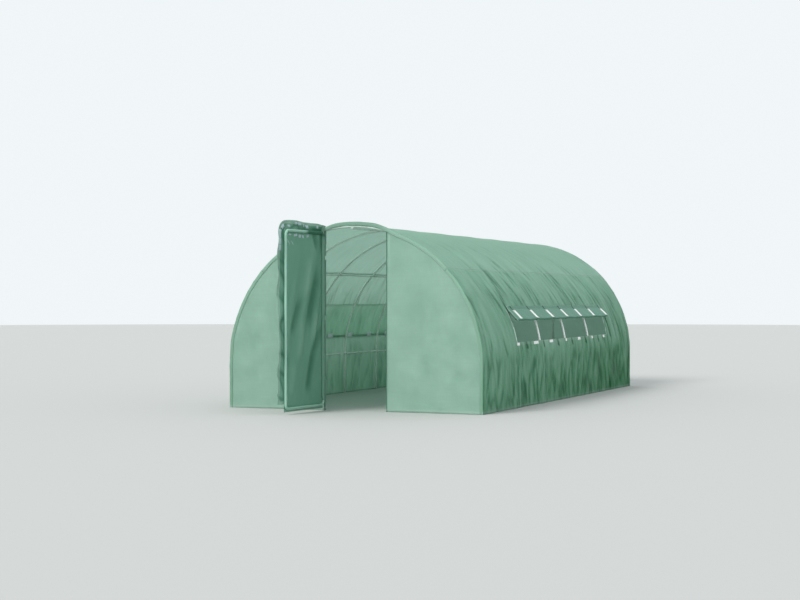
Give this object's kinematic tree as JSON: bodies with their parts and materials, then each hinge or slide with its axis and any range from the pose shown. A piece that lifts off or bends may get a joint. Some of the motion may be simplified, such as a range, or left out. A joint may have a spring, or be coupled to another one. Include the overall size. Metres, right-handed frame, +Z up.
{
  "type": "polytunnel greenhouse",
  "caption": "Walk-in polytunnel greenhouse: tube hoops and purlins under a green sheet, with a hinged door leaf and long side windows.",
  "frame": {"origin": "on the ground, in the middle of the footprint with the door leaf standing open", "axes": "+X to the right seen from the doorway, +Y along the tunnel to the rear, +Z up"},
  "size_m": [3, 6.8822, 2],
  "materials": {
    "frame_tube": "pale grey-green coated steel tube",
    "clip_steel": "zinc-plated strap",
    "wall_cover": "pale green woven sheet",
    "roof_sheet": "green woven sheet with a fine grid",
    "door_sheet": "green woven sheet, slack",
    "white_tape": "white hook-and-loop tape"
  },
  "bodies": {
    "tunnel": {"hoop_1": "frame_tube", "hoop_2": "frame_tube", "hoop_3": "frame_tube", "hoop_4": "frame_tube", "hoop_5": "frame_tube", "hoop_6": "frame_tube", "hoop_7": "frame_tube", "ridge_purlin": "frame_tube", "shoulder_purlin_right": "frame_tube", "shoulder_purlin_left": "frame_tube", "side_purlin_right": "frame_tube", "side_purlin_left": "frame_tube", "front_post_left": "frame_tube", "front_post_right": "frame_tube", "rear_post_left": "frame_tube", "rear_post_right": "frame_tube", "hinge_clip_low": "clip_steel", "hinge_clip_middle": "clip_steel", "hinge_clip_top": "clip_steel", "front_wall_left": "wall_cover", "front_wall_right": "wall_cover", "rear_wall": "wall_cover", "roof_cover": "roof_sheet", "shoulder_cover_right": "roof_sheet", "shoulder_cover_left": "roof_sheet", "side_cover_right": "roof_sheet", "side_cover_left": "roof_sheet", "window_end_front_right": "roof_sheet", "window_end_front_left": "roof_sheet", "window_end_rear_right": "roof_sheet", "window_end_rear_left": "roof_sheet", "window_flap_right": "roof_sheet", "window_flap_left": "roof_sheet", "window_tabs_right": "white_tape", "window_tabs_left": "white_tape", "window_strips": "white_tape"},
    "door": {"door_frame": "frame_tube", "door_panel": "door_sheet", "door_side_flap": "door_sheet", "door_top_flap": "door_sheet", "door_tapes": "white_tape"}
  },
  "joints": [
    {"name": "door_hinge", "type": "hinge", "parent": "tunnel", "child": "door", "pos_m": [-0.3295, -2.58295, 0], "axis": [0, 0, 1], "range_deg": [-75, 95]}
  ]
}
